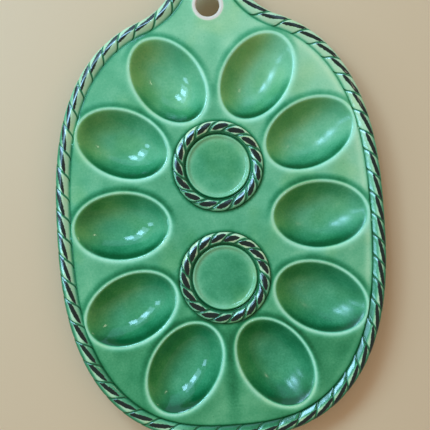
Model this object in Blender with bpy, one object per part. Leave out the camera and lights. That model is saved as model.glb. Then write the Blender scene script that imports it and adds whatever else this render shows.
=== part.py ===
"""Glazed earthenware egg holder tray with ten egg wells, two round dishes, a rope rim and a hanging tab.

Metres, +Z up. The tray stands on the flat pads under its wells. The origin lies on that surface, below the
middle of the overall length and width, and the hanging tab points to +Y.
"""

import math

import bmesh
import bpy
import numpy as np

# Clearance left at every seam between two pieces
SEAM = 0.0003

# Egg wells: oval bowls whose raised lips seat on the deck
WELL_HALF_LENGTH = 0.0340
WELL_HALF_WIDTH = 0.0240
WELL_DEPTH = 0.0150
WELL_FLOOR = 0.0045
WELL_ROUNDNESS = 2.5
LIP_RISE = 0.0012
LIP_REACH = 0.0009
LIP_EDGE = 0.0002
LIP_CREST = 0.0007
PAD_HALF_LENGTH = 0.0130
PAD_HALF_WIDTH = 0.0092

# Lay-out of the wells, each gap measured between lips or between a lip and a rope
END_TILT = math.radians(56.5)
SHOULDER_TILT = math.radians(25.0)
MIDDLE_SPACING = 0.0706
END_PAIR_GAP = 0.0068
MIDDLE_WELL_GAP = 0.0063
END_WELL_GAP = 0.0041
RING_GAP = 0.0023
MIDDLE_RIM_GAP = 0.0011
SHOULDER_RIM_GAP = 0.0005
END_RIM_GAP = 0.0038

# How much nearer the middle the upper dish lies than the lower one
UPPER_DISH_DROP = 0.0012

# Deck: the web that carries the wells, the dishes and the ropes
DECK_THICKNESS = 0.0045

# Hanging tab
HOLE_RADIUS = 0.0084
HOLE_RISE = 0.0022
TAB_RADIUS = 0.0280
TAB_FILLET = 0.0500

# Round dishes, each with a flange that its rope ring covers
DISH_RADIUS = 0.0226
DISH_DEPTH = 0.0020
DISH_FLOOR = 0.0040
DISH_FLOOR_RADIUS = 0.0190
DISH_RIM_DROP = 0.0004
DISH_FOOT_INSET = 0.0060
RING_GROOVE = 0.0018
GROOVE_DEPTH = 0.0012
FLANGE_THICKNESS = 0.0012
FLANGE_BEARING = 0.0045

# Ropes: the rim rope wraps the edge of the deck, and a ring rope wraps the flange of each dish
ROPE_WIDTH = 0.0099
ROPE_RISE = 0.0025
ROPE_PITCH = 0.0155
ROPE_LAY = 0.85
ROPE_SKIRT = 0.0025
SKIRT_TAPER = 0.0006
RING_ROPE_WIDTH = 0.0075
RING_ROPE_RISE = 0.0019
RING_SKIRT = 0.0020
UPPER_RING_STRANDS = 15
LOWER_RING_STRANDS = 17
RING_LAY = 0.95
ROPE_CROWN = 1.8
STRAND_GROOVE = 0.0009

# Facets: sides of the round pieces, and the shares of the way out at which a bowl and a belly have a ring
WELL_SIDES = 24
DISH_SIDES = 28
HOLE_SIDES = 24
BOWL_STEPS = (0.12, 0.36, 0.58, 0.76, 0.90)
BELLY_STEPS = (0.62, 0.30)
DISH_CURVE = (0.5, 0.4)
LINES_PER_STRAND = 3
ARC_STEPS = 6
CURVE_SAMPLES = 3000
HALVINGS = 60
SHARP_ANGLE = math.radians(40)

# Heights, worked out from the pad surface up
LIP_TOP = WELL_FLOOR + WELL_DEPTH
DECK_TOP = LIP_TOP - LIP_RISE
DECK_BOTTOM = DECK_TOP - DECK_THICKNESS
SEAT = DECK_TOP + SEAM

# Outlines of a lip and of the opening in the deck that it covers
LIP_HALF_LENGTH = WELL_HALF_LENGTH + LIP_REACH
LIP_HALF_WIDTH = WELL_HALF_WIDTH + LIP_REACH
NECK_HALF_LENGTH = WELL_HALF_LENGTH - SEAM
NECK_HALF_WIDTH = WELL_HALF_WIDTH - SEAM

# Radii of a dish and of its rope ring
ROPE_RING_INNER = DISH_RADIUS + RING_GROOVE
RING_OUTER = ROPE_RING_INNER + RING_ROPE_WIDTH
FLANGE_RADIUS = RING_OUTER - RING_SKIRT - SEAM
DISH_NECK_RADIUS = FLANGE_RADIUS - FLANGE_BEARING


def lip_reach(tilt, bearing):
    """How far a lip whose long axis lies at tilt reaches from its centre in the direction of bearing."""
    along = LIP_HALF_LENGTH * math.cos(bearing - tilt)
    across = LIP_HALF_WIDTH * math.sin(bearing - tilt)
    return math.hypot(along, across)


def well_layout():
    """Centres of the right-hand end, shoulder and middle wells of the +Y half, and of the +Y dish."""
    petal = RING_OUTER + RING_GAP + LIP_HALF_LENGTH
    end_x = END_PAIR_GAP / 2 + lip_reach(END_TILT, 0)
    end_bearing = math.acos(end_x / petal)
    shoulder_bearing = 0.0
    for _ in range(HALVINGS):
        chord_bearing = (end_bearing + shoulder_bearing - math.pi) / 2
        chord = lip_reach(END_TILT, chord_bearing) + lip_reach(SHOULDER_TILT, chord_bearing) + END_WELL_GAP
        shoulder_bearing = end_bearing - 2 * math.asin(chord / (2 * petal))
    shoulder_y = LIP_HALF_WIDTH + MIDDLE_WELL_GAP + lip_reach(SHOULDER_TILT, math.pi / 2)
    ring_y = max(shoulder_y - petal * math.sin(shoulder_bearing), RING_OUTER + RING_GAP)
    end = np.array([end_x, ring_y + petal * math.sin(end_bearing)])
    shoulder = np.array([petal * math.cos(shoulder_bearing), ring_y + petal * math.sin(shoulder_bearing)])
    middle = np.array([MIDDLE_SPACING / 2 + LIP_HALF_LENGTH, 0.0])
    return end, shoulder, middle, ring_y


def rim_point(centre, tilt, gap):
    """Where the outer edge of the rim passes the tip of a well, across the gap and the rope."""
    reach = LIP_HALF_LENGTH + gap + ROPE_WIDTH
    return centre + reach * np.array([math.cos(tilt), math.sin(tilt)])


def rim_shape(end, shoulder, middle):
    """Half width, half length and squareness of the superellipse that clears the three kinds of well."""
    half_width = rim_point(middle, 0, MIDDLE_RIM_GAP)[0]
    end_x, end_y = rim_point(end, END_TILT, END_RIM_GAP)
    shoulder_x, shoulder_y = rim_point(shoulder, SHOULDER_TILT, SHOULDER_RIM_GAP)
    low, high = 1.5, 8.0
    for _ in range(HALVINGS):
        power = (low + high) / 2
        half_length = end_y / (1 - (end_x / half_width) ** power) ** (1 / power)
        over = (shoulder_x / half_width) ** power + (shoulder_y / half_length) ** power - 1
        low, high = (power, high) if over > 0 else (low, power)
    return half_width, half_length, power


def rim_outline(half_width, half_length, power, hole_y):
    """Right half of the rim's outer edge, from the bottom end up round the tab, as an array of points."""
    turn = np.linspace(-math.pi / 2, math.pi / 2, CURVE_SAMPLES)
    oval = np.stack([half_width * np.abs(np.cos(turn)) ** (2 / power),
                     half_length * np.sign(turn) * np.abs(np.sin(turn)) ** (2 / power)], axis=1)
    hole = np.array([0.0, hole_y])
    low, high = 0.0, math.pi / 2
    for _ in range(HALVINGS):
        bearing = (low + high) / 2
        pivot = hole + (TAB_RADIUS + TAB_FILLET) * np.array([math.cos(bearing), math.sin(bearing)])
        distance = np.hypot(*(oval - pivot).T)
        low, high = (bearing, high) if distance.min() < TAB_FILLET else (low, bearing)
    joint = int(distance.argmin())
    first = math.atan2(*(oval[joint] - pivot)[::-1])
    sweep = (bearing - math.pi - first + math.pi) % (2 * math.pi) - math.pi
    concave = first + sweep * np.linspace(0, 1, CURVE_SAMPLES // 10)
    fillet = pivot + TAB_FILLET * np.stack([np.cos(concave), np.sin(concave)], axis=1)
    convex = np.linspace(bearing, math.pi / 2, CURVE_SAMPLES // 10)
    tab = hole + TAB_RADIUS * np.stack([np.cos(convex), np.sin(convex)], axis=1)
    return np.concatenate([oval[:joint], fillet, tab[1:]])


class Path:
    """A closed plane curve that turns anticlockwise, read by its length along the edge."""

    def __init__(self, points):
        self.points = np.concatenate([points, points[:1]])
        steps = np.hypot(*np.diff(self.points, axis=0).T)
        self.along = np.concatenate([[0.0], np.cumsum(steps)])
        self.length = self.along[-1]

    def point(self, distance):
        distance = np.mod(distance, self.length)
        return np.stack([np.interp(distance, self.along, self.points[:, i]) for i in range(2)], axis=-1)

    def inside(self, distance, inset):
        """The point that lies inset from the edge, square to it."""
        step = self.length / CURVE_SAMPLES
        ahead = self.point(distance + step) - self.point(distance - step)
        inward = np.stack([-ahead[..., 1], ahead[..., 0]], axis=-1)
        inward /= np.linalg.norm(inward, axis=-1, keepdims=True)
        return self.point(distance) + inward * np.asarray(inset)[..., None]


def ellipse(half_length, half_width, sides):
    turn = 2 * math.pi * np.arange(sides) / sides
    return np.stack([half_length * np.cos(turn), half_width * np.sin(turn)], axis=1)


def material(name, colour, roughness):
    made = bpy.data.materials.new(name)
    made.use_nodes = True
    shader = made.node_tree.nodes["Principled BSDF"]
    shader.inputs["Base Color"].default_value = (*colour, 1.0)
    shader.inputs["Roughness"].default_value = roughness
    shader.inputs["Metallic"].default_value = 0.0
    made.diffuse_color = (*colour, 1.0)
    return made


def finish_mesh(name, bm):
    bmesh.ops.recalc_face_normals(bm, faces=bm.faces[:])
    mesh = bpy.data.meshes.new(name)
    bm.to_mesh(mesh)
    bm.free()
    mesh.shade_smooth()
    mesh.set_sharp_from_angle(angle=SHARP_ANGLE)
    return mesh


def loft_mesh(name, rings, closed):
    """A skin over equal rings of points: capped at both ends or, if closed, joined last ring to first."""
    bm = bmesh.new()
    loops = [[bm.verts.new(point) for point in ring] for ring in rings]
    pairs = list(zip(loops, loops[1:]))
    if closed:
        pairs.append((loops[-1], loops[0]))
    else:
        bm.faces.new(loops[0])
        bm.faces.new(loops[-1])
    for one, other in pairs:
        for i in range(len(one)):
            j = (i + 1) % len(one)
            bm.faces.new((one[i], one[j], other[j], other[i]))
    return finish_mesh(name, bm)


def place(name, mesh, finish, parent, location=(0, 0, 0), turn=0.0):
    piece = bpy.data.objects.new(name, mesh)
    bpy.context.scene.collection.objects.link(piece)
    piece.parent = parent
    piece.location = location
    piece.rotation_euler = (0, 0, turn)
    if not mesh.materials:
        mesh.materials.append(finish)
    return piece


def well_mesh():
    """A bowl that hangs by its lip: lip and bowl above, then neck, belly and standing pad below."""
    rings = []

    def ring(half_length, half_width, height):
        rings.append([(x, y, height) for x, y in ellipse(half_length, half_width, WELL_SIDES)])

    for share in BOWL_STEPS:
        height = LIP_TOP - WELL_DEPTH * (1 - share ** WELL_ROUNDNESS)
        ring(share * WELL_HALF_LENGTH, share * WELL_HALF_WIDTH, height)
    ring(WELL_HALF_LENGTH - LIP_CREST, WELL_HALF_WIDTH - LIP_CREST, LIP_TOP - LIP_CREST / 2)
    ring(WELL_HALF_LENGTH, WELL_HALF_WIDTH, LIP_TOP)
    ring(LIP_HALF_LENGTH, LIP_HALF_WIDTH, SEAT + LIP_EDGE)
    ring(LIP_HALF_LENGTH, LIP_HALF_WIDTH, SEAT)
    ring(NECK_HALF_LENGTH, NECK_HALF_WIDTH, SEAT)
    ring(NECK_HALF_LENGTH, NECK_HALF_WIDTH, DECK_BOTTOM)
    for share in BELLY_STEPS:
        height = DECK_BOTTOM * share ** WELL_ROUNDNESS
        half_length = PAD_HALF_LENGTH + share * (NECK_HALF_LENGTH - PAD_HALF_LENGTH)
        half_width = PAD_HALF_WIDTH + share * (NECK_HALF_WIDTH - PAD_HALF_WIDTH)
        ring(half_length, half_width, height)
    ring(PAD_HALF_LENGTH, PAD_HALF_WIDTH, 0.0)
    return loft_mesh("egg_well", rings, closed=False)


def dish_mesh():
    """A turned dish: shallow floor, rounded rim and groove above, then flange, neck and foot below."""
    floor = DECK_TOP - DISH_DEPTH
    rim = DECK_TOP - DISH_RIM_DROP
    flange_top = SEAT + FLANGE_THICKNESS
    out, up = DISH_CURVE
    profile = [
        (DISH_FLOOR_RADIUS, floor),
        (DISH_FLOOR_RADIUS + (DISH_RADIUS - DISH_FLOOR_RADIUS) * out, floor + (rim - floor) * up),
        (DISH_RADIUS, rim),
        (DISH_RADIUS + RING_GROOVE / 2, rim - GROOVE_DEPTH),
        (ROPE_RING_INNER, flange_top),
        (FLANGE_RADIUS, flange_top),
        (FLANGE_RADIUS, SEAT),
        (DISH_NECK_RADIUS, SEAT),
        (DISH_NECK_RADIUS, DECK_BOTTOM),
        (DISH_NECK_RADIUS - DISH_FOOT_INSET, floor - DISH_FLOOR),
    ]
    rings = [[(x, y, z) for x, y in ellipse(r, r, DISH_SIDES)] for r, z in profile]
    return loft_mesh("round_dish", rings, closed=False)


def rope_mesh(name, path, strands, lay, width, rise, seat, skirt, foot):
    """A low, crowned twisted rope on a path, seated at seat, with a skirt that hangs outside to foot."""
    pitch = path.length / strands
    rings = []
    for line in range(strands * LINES_PER_STRAND):
        swell = math.sin(math.pi * (line % LINES_PER_STRAND) / LINES_PER_STRAND)
        sunk = STRAND_GROOVE * (1 - swell)
        start = pitch * line / LINES_PER_STRAND
        ring = []
        for step in range(ARC_STEPS + 1):
            angle = math.pi * (1 - step / ARC_STEPS)
            half = width / 2 - sunk * math.sin(angle / 2 + math.pi / 4)
            inset = width / 2 - half * math.cos(angle)
            if step == 0:
                inset = width
            height = seat + (rise - sunk) * (1 - abs(math.cos(angle)) ** ROPE_CROWN)
            spot = path.inside(start + pitch * lay * (angle / math.pi - 0.5), inset)
            ring.append((*spot, height))
        for inset, height in ((SKIRT_TAPER + STRAND_GROOVE / 2, foot), (skirt, foot), (skirt, seat)):
            spot = path.inside(start - pitch * lay / 2, inset)
            ring.append((*spot, height))
        rings.append(ring)
    return loft_mesh(name, rings, closed=True)


def deck_mesh(path, lines, wells, dishes, hole_y):
    """The flat web inside the rope's skirt, with an opening for each well and dish and the hanging hole."""
    spots = path.length * np.arange(lines) / lines
    loops = [path.inside(spots, np.full(lines, ROPE_SKIRT + SEAM))]
    for (x, y), tilt in wells:
        oval = ellipse(WELL_HALF_LENGTH, WELL_HALF_WIDTH, WELL_SIDES)
        turned = oval @ np.array([[math.cos(tilt), math.sin(tilt)], [-math.sin(tilt), math.cos(tilt)]])
        loops.append(turned + (x, y))
    opening = DISH_NECK_RADIUS + SEAM
    for y in dishes:
        loops.append(ellipse(opening, opening, DISH_SIDES) + (0, y))
    loops.append(ellipse(HOLE_RADIUS, HOLE_RADIUS, HOLE_SIDES) + (0, hole_y))
    bm = bmesh.new()
    for loop in loops:
        corners = [bm.verts.new((x, y, DECK_BOTTOM)) for x, y in loop]
        for one, other in zip(corners, corners[1:] + corners[:1]):
            bm.edges.new((one, other))
    bmesh.ops.triangle_fill(bm, edges=bm.edges[:], use_beauty=True)
    raised = bmesh.ops.extrude_face_region(bm, geom=bm.faces[:], use_keep_orig=True)["geom"]
    top = [item for item in raised if isinstance(item, bmesh.types.BMVert)]
    bmesh.ops.translate(bm, verts=top, vec=(0, 0, DECK_THICKNESS))
    return finish_mesh("deck", bm)


def build():
    for leftover in list(bpy.data.objects):
        bpy.data.objects.remove(leftover, do_unlink=True)

    end, shoulder, middle, ring_y = well_layout()
    half_width, half_length, power = rim_shape(end, shoulder, middle)
    hole_y = half_length + HOLE_RISE
    right = rim_outline(half_width, half_length, power, hole_y)
    left = right[-2:0:-1] * (-1, 1)
    rim = Path(np.concatenate([right, left]))
    strands = round(rim.length / ROPE_PITCH)

    # Names count the wells of each side from the tab end down
    rows = [(end, END_TILT), (shoulder, SHOULDER_TILT), (middle, 0.0),
            (shoulder * (1, -1), -SHOULDER_TILT), (end * (1, -1), -END_TILT)]
    wells = {}
    for number, ((x, y), tilt) in enumerate(rows, start=1):
        wells[f"egg_well_right_{number}"] = ((x, y), tilt)
        wells[f"egg_well_left_{number}"] = ((-x, y), math.pi - tilt)
    dishes = {"upper": (ring_y - UPPER_DISH_DROP, UPPER_RING_STRANDS), "lower": (-ring_y, LOWER_RING_STRANDS)}

    tray = bpy.data.objects.new("tray", None)
    bpy.context.scene.collection.objects.link(tray)
    tray.location = (0, -(hole_y + TAB_RADIUS - half_length) / 2, 0)

    deck_glaze = material("deck_glaze", (0.17, 0.44, 0.29), 0.16)
    well_glaze = material("well_glaze", (0.07, 0.28, 0.15), 0.12)
    dish_glaze = material("dish_glaze", (0.12, 0.38, 0.23), 0.14)
    rope_glaze = material("rope_glaze", (0.10, 0.22, 0.16), 0.15)

    openings = list(wells.values())
    dish_places = [y for y, _ in dishes.values()]
    place("deck", deck_mesh(rim, strands * 2, openings, dish_places, hole_y), deck_glaze, tray)
    bowl = well_mesh()
    for name, ((x, y), tilt) in wells.items():
        place(name, bowl, well_glaze, tray, (x, y, 0), tilt)
    dish = dish_mesh()
    circle = Path(ellipse(RING_OUTER, RING_OUTER, CURVE_SAMPLES))
    for side, (y, ring_strands) in dishes.items():
        place(f"{side}_dish", dish, dish_glaze, tray, (0, y, 0))
        ring = rope_mesh(f"{side}_rope_ring", circle, ring_strands, RING_LAY, RING_ROPE_WIDTH, RING_ROPE_RISE,
                         SEAT + FLANGE_THICKNESS + SEAM, RING_SKIRT, SEAT)
        place(f"{side}_rope_ring", ring, rope_glaze, tray, (0, y, 0))
    rim_size = (ROPE_WIDTH, ROPE_RISE, SEAT, ROPE_SKIRT, DECK_BOTTOM)
    rim_rope = rope_mesh("rim_rope", rim, strands, ROPE_LAY, *rim_size)
    place("rim_rope", rim_rope, rope_glaze, tray)


build()
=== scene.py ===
"""Looks of the glazed earthenware egg holder tray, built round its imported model. Metres, +Z up."""

import math
from types import SimpleNamespace

import bmesh
import bpy
import numpy as np
from mathutils import Matrix, Vector
from mathutils.geometry import delaunay_2d_cdt


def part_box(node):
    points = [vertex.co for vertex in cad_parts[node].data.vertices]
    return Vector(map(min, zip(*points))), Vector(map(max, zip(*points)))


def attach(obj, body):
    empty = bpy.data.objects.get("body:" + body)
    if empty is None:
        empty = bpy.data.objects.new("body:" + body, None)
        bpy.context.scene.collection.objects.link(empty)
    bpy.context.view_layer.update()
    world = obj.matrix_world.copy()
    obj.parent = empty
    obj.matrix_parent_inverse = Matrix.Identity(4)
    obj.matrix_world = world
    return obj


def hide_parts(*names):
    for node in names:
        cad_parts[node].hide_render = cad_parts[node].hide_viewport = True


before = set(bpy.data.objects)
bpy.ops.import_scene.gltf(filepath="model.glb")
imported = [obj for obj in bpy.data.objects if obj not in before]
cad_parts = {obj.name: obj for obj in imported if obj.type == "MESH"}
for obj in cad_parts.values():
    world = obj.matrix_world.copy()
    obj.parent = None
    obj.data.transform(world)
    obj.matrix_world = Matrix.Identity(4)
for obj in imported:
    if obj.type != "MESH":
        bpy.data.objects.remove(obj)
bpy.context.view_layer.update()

MM = 0.001

# Lay-out that the boxes of the frame don't hold, as in the part's own source
END_TILT = math.radians(56.5)
SHOULDER_TILT = math.radians(25.0)
RIM_POWER = 2.5624
TAB_RADIUS = 28.0 * MM
TAB_FILLET = 50.0 * MM
HOLE_RADIUS = 8.4 * MM
LIP_REACH = 0.9 * MM
ROPE_WIDTH = 9.9 * MM
ROPE_PITCH = 15.5 * MM
ROPE_LAY = 0.85
ROPE_SKIRT = 2.5 * MM
RING_ROPE_WIDTH = 7.5 * MM
RING_LAY = 0.95
RING_SKIRT = 2.0 * MM
RING_STRANDS = {"upper": 15, "lower": 17}
DISH_RADIUS = 22.6 * MM
DISH_FLOOR_RADIUS = 19.0 * MM
DISH_DEPTH = 2.0 * MM
DISH_RIM_DROP = 0.4 * MM
GROOVE_DEPTH = 1.2 * MM
FLANGE_BEARING = 4.5 * MM
FLANGE_TOP = 1.5 * MM
SEAM = 0.3 * MM
PAD_HALF = np.array([13.0, 9.2]) * MM

# Shape of the glazed surface
BOWL_POWER = 2.5
BOWL_DEPTH = 15.0 * MM
CREST_ROUNDING = 0.075
SWELL_REACH = 8.0 * MM
SWELL_FALL = 1.5
RIPPLE_HEIGHT = 0.05 * MM
RIPPLE_X = 9.0 * MM
RIPPLE_X_BEND = 1.3
RIPPLE_X_BEND_LENGTH = 17.0 * MM
RIPPLE_Y = 11.0 * MM
RIPPLE_Y_BEND = 1.1
RIPPLE_Y_BEND_LENGTH = 15.0 * MM
RIPPLE_Y_START = 2.0
SEAM_GAP = 0.06 * MM
SEAM_EASE = 1.0 * MM
BELLY_FILLET = 1.6 * MM
BELLY_FALL = 0.83 * MM
RABBET = 0.45 * MM
RABBET_EDGE = 0.20 * MM
HOLE_ROUND = 1.3 * MM
HOLE_SWELL = 0.5 * MM
HOLE_SWELL_REACH = 2.5 * MM
HOLE_TOP_TURNS = (22.5, 45.0, 67.5, 90.0)
HOLE_BOTTOM_TURNS = (90.0, 60.0, 30.0)

# Fineness of the meshes
WELL_SIDES = 112
RING_SIDES = 96
HOLE_SIDES = 72
STRAND_LINES = 24
EDGE_POINTS = 10
FOOT_POINTS = 12
CURVE_SAMPLES = 3000
ARC_SAMPLES = CURVE_SAMPLES // 10
RIM_STEP = 1.0 * MM
DECK_GRID = 1.6 * MM
UNDER_GRID = 5.0 * MM
LIP_STEPS = np.array([0.0, 0.25, 0.5, 0.8, 1.15, 1.6, 2.1, 2.6]) * MM
UNDER_STEPS = np.array([0.0, 0.4, 0.9, 1.6, 2.6]) * MM
FOOT_STEPS = np.array([-0.05, 0.22, 0.60, 1.15]) * MM
FOOT_MIDDLE = 0.5 * MM
FOOT_CLEARANCE = 1.2 * MM
SPARE_MARGIN = 0.45 * MM
TRIANGLE_MARGIN = 0.05 * MM
POINTS_AT_ONCE = 2000
HALVINGS = 60
TINY = 1e-6

# Marks that each vertex carries for the glaze and the shade and sheen painted into it, the value of one
# far off, and that of bare clay
MARKS = ("glaze", "dab", "olive", "clay", "mint")
FAR_OUT = -9.0
BARE_CLAY = 2.0


def centre_of(node):
    low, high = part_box(node)
    return (low + high) / 2


lip_low, lip_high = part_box("egg_well_right_3")
rim_low, rim_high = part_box("rim_rope")
LIP_TOP = lip_high.z
WELL_HALF = np.array((lip_high - lip_low).xy) / 2 - LIP_REACH
DECK_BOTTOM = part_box("deck")[0].z
DECK_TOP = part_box("deck")[1].z
LIP_RISE = LIP_TOP - DECK_TOP
ROPE_TOP = rim_high.z
RING_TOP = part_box("upper_rope_ring")[1].z
FLANGE_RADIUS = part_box("upper_dish")[1].x
RING_OUTER = FLANGE_RADIUS + SEAM + RING_SKIRT
DISH_NECK_RADIUS = FLANGE_RADIUS - FLANGE_BEARING
PLATE_Y = centre_of("egg_well_right_3").y
HALF_WIDTH = rim_high.x
HALF_LENGTH = PLATE_Y - rim_low.y
TAB = np.array([0.0, rim_high.y - TAB_RADIUS])
HOLE = np.array([0.0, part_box("deck")[1].y + SEAM + ROPE_SKIRT - TAB_RADIUS])
DISHES = {side: np.array(centre_of(f"{side}_dish").xy) for side in ("upper", "lower")}
SEAM_FOOT = DECK_BOTTOM - BELLY_FILLET
DECK_EDGE_INSET = ROPE_SKIRT + SEAM_GAP
DISH_OPENING = DISH_NECK_RADIUS + SEAM_GAP
HOLE_EDGE = HOLE_RADIUS + HOLE_ROUND
ROPE_SEAT = DECK_TOP - RABBET + SEAM_GAP


class Path:
    """A closed plane curve that turns anticlockwise, read by its length along the edge."""

    def __init__(self, points):
        self.points = np.concatenate([points, points[:1]])
        steps = np.hypot(*np.diff(self.points, axis=0).T)
        self.along = np.concatenate([[0.0], np.cumsum(steps)])
        self.length = self.along[-1]

    def point(self, distance):
        distance = np.mod(distance, self.length)
        return np.stack([np.interp(distance, self.along, self.points[:, i]) for i in range(2)], axis=-1)

    def inside(self, distance, inset):
        """The point that lies inset from the edge, square to it."""
        step = self.length / CURVE_SAMPLES
        ahead = self.point(distance + step) - self.point(distance - step)
        inward = np.stack([-ahead[..., 1], ahead[..., 0]], axis=-1)
        inward /= np.linalg.norm(inward, axis=-1, keepdims=True)
        return self.point(distance) + inward * np.asarray(inset)[..., None]

    def spots(self, count):
        """Distances of evenly spaced points along the edge."""
        return self.length * np.arange(count) / count


def directions(turn):
    return np.stack([np.cos(turn), np.sin(turn)], axis=-1)


def rim_path():
    """Outer edge of the rim: a superellipse that runs through concave fillets into the round tab."""
    turn = np.linspace(-math.pi / 2, math.pi / 2, CURVE_SAMPLES)
    oval_x = HALF_WIDTH * np.abs(np.cos(turn)) ** (2 / RIM_POWER)
    oval_y = PLATE_Y + HALF_LENGTH * np.sign(turn) * np.abs(np.sin(turn)) ** (2 / RIM_POWER)
    oval = np.stack([oval_x, oval_y], axis=1)
    low, high = 0.0, math.pi / 2
    for _ in range(HALVINGS):
        bearing = (low + high) / 2
        pivot = TAB + (TAB_RADIUS + TAB_FILLET) * directions(bearing)
        distance = np.hypot(*(oval - pivot).T)
        low, high = (bearing, high) if distance.min() < TAB_FILLET else (low, bearing)
    joint = int(distance.argmin())
    first = math.atan2(*(oval[joint] - pivot)[::-1])
    last = bearing - math.pi
    sweep = (last - first + math.pi) % (2 * math.pi) - math.pi
    fillet = pivot + TAB_FILLET * directions(first + sweep * np.linspace(0, 1, ARC_SAMPLES))
    tab = TAB + TAB_RADIUS * directions(np.linspace(bearing, math.pi / 2, ARC_SAMPLES))
    right = np.concatenate([oval[:joint], fillet, tab[1:]])
    left = right[-2:0:-1] * (-1, 1)
    return Path(np.concatenate([right, left]))


RIM = rim_path()
RIM_STRANDS = round(RIM.length / ROPE_PITCH)
RIM_SPOTS = np.arange(0, RIM.length, RIM_STEP)
RIM_SAMPLES = RIM.point(RIM_SPOTS)
RIM_INWARD = RIM.inside(RIM_SPOTS, np.ones(len(RIM_SPOTS))) - RIM_SAMPLES


def inset_of(points):
    """Distance of each point inside the rim's outer edge, below 0 outside it."""
    insets = []
    for part in np.array_split(points, max(1, len(points) // POINTS_AT_ONCE)):
        away = part[:, None, :] - RIM_SAMPLES[None, :, :]
        squares = (away ** 2).sum(axis=2)
        nearest = squares.argmin(axis=1)
        rows = np.arange(len(part))
        side = (away[rows, nearest] * RIM_INWARD[nearest]).sum(axis=1)
        insets.append(np.sqrt(squares[rows, nearest]) * np.sign(side))
    return np.concatenate(insets)


def distance_from(centre, points):
    return np.linalg.norm(points - centre, axis=1)


def ring_gap(points):
    """Distance outside the nearer of the two rope rings."""
    return np.min([distance_from(centre, points) for centre in DISHES.values()], axis=0) - RING_OUTER


def rope_gap(points):
    """Distance of each point on the deck from the foot of the nearest rope."""
    return np.minimum(inset_of(points) - ROPE_WIDTH, ring_gap(points))


def lowness(points):
    """How far down the oval each point lies: -1 at its top, 1 at its lower end."""
    return (PLATE_Y - points[:, 1]) / HALF_LENGTH


def rightness(points):
    """How far across the tray each point lies: -1 at its left edge, 1 at its right."""
    return points[:, 0] / HALF_WIDTH


def circle(radius, sides, centre=(0.0, 0.0)):
    return directions(2 * math.pi * np.arange(sides) / sides) * radius + centre


def ease(value, low, high):
    """0 below low, 1 above high and a smooth climb between."""
    share = np.clip((np.asarray(value) - low) / (high - low), 0.0, 1.0)
    return share * share * (3 - 2 * share)


def plateau(value, climb, fall):
    """1 between two slopes, which climb over the first pair of values and fall over the second."""
    return ease(value, *climb) * (1 - ease(value, *fall))


def hump(value, middle, width):
    return np.exp(-((np.asarray(value) - middle) / width) ** 2)


class Well:
    """Place of one egg well: its centre and the tilt of its long axis."""

    def __init__(self, name, tilt):
        self.name = name
        self.centre = np.array(centre_of(name).xy)
        self.long = np.array([math.cos(tilt), math.sin(tilt)])
        self.cross = np.array([-math.sin(tilt), math.cos(tilt)])

    def ring(self, share=1.0, offset=0.0, half=WELL_HALF):
        """Points of an oval like the lip, scaled by share and then moved out square to it by offset."""
        unit = circle(1.0, WELL_SIDES)
        square = unit / half
        local = unit * half * share + square / np.linalg.norm(square, axis=1, keepdims=True) * offset
        return self.centre + local[:, :1] * self.long + local[:, 1:] * self.cross

    def gap(self, points):
        """Distance outside the lip's crest, and the direction straight out from it."""
        away = points - self.centre
        local = np.stack([away @ self.long, away @ self.cross], axis=1)
        share = np.maximum(np.linalg.norm(local / WELL_HALF, axis=1), TINY)
        slope = local / WELL_HALF ** 2 / share[:, None]
        steep = np.maximum(np.linalg.norm(slope, axis=1), TINY)
        outward = (slope[:, :1] * self.long + slope[:, 1:] * self.cross) / steep[:, None]
        return (share - 1) / steep, outward


def wells_of_tray():
    """The ten wells, counted on each side from the tab end down."""
    wells = []
    tilts = (END_TILT, SHOULDER_TILT, 0.0, -SHOULDER_TILT, -END_TILT)
    for number, tilt in enumerate(tilts, start=1):
        wells.append(Well(f"egg_well_right_{number}", tilt))
        wells.append(Well(f"egg_well_left_{number}", math.pi - tilt))
    return wells


WELLS = wells_of_tray()


def new_object(name, data):
    made = bpy.data.objects.new(name, data)
    bpy.context.scene.collection.objects.link(made)
    return made


class Skin:
    """Vertices, faces and glaze marks of one piece, gathered ring by ring."""

    def __init__(self):
        self.points = []
        self.marks = []
        self.faces = []
        self.count = 0

    def add(self, points, height, glaze=1.0, dab=FAR_OUT, olive=0.0, clay=FAR_OUT, mint=0.0):
        """Adds points at a height with their marks, and gives the numbers of the new vertices."""
        points = np.asarray(points, float)
        height = np.broadcast_to(height, len(points))
        self.points.append(np.concatenate([points, height[:, None]], axis=1))
        values = [np.broadcast_to(mark, len(points)) for mark in (glaze, dab, olive, clay, mint)]
        self.marks.append(np.stack(values, axis=1))
        self.count += len(points)
        return np.arange(self.count - len(points), self.count)

    def band(self, one, other):
        """Quads between two closed rings of as many points."""
        quads = np.stack([one, np.roll(one, -1), np.roll(other, -1), other], axis=1)
        self.faces.extend(quads.tolist())

    def bands(self, rings):
        for one, other in zip(rings, rings[1:]):
            self.band(one, other)

    def cap(self, ring, pole):
        """Triangles from a closed ring to one vertex."""
        fan = np.stack([ring, np.roll(ring, -1), np.full(len(ring), pole[0])], axis=1)
        self.faces.extend(fan.tolist())

    def piece(self, name, finish, slot, *nodes):
        """Makes the finished object, which stands for the named nodes of the frame."""
        mesh = bpy.data.meshes.new(name)
        mesh.from_pydata(np.concatenate(self.points).tolist(), [], self.faces)
        bm = bmesh.new()
        bm.from_mesh(mesh)
        bmesh.ops.recalc_face_normals(bm, faces=bm.faces[:])
        bm.to_mesh(mesh)
        bm.free()
        for column, mark in enumerate(MARKS):
            attribute = mesh.attributes.new(mark, "FLOAT", "POINT")
            values = np.concatenate(self.marks)[:, column].astype(np.float32)
            attribute.data.foreach_set("value", values)
        mesh.shade_smooth()
        mesh.materials.append(finish)
        made = new_object(name, mesh)
        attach(made, "root")
        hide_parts(*nodes)


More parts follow.
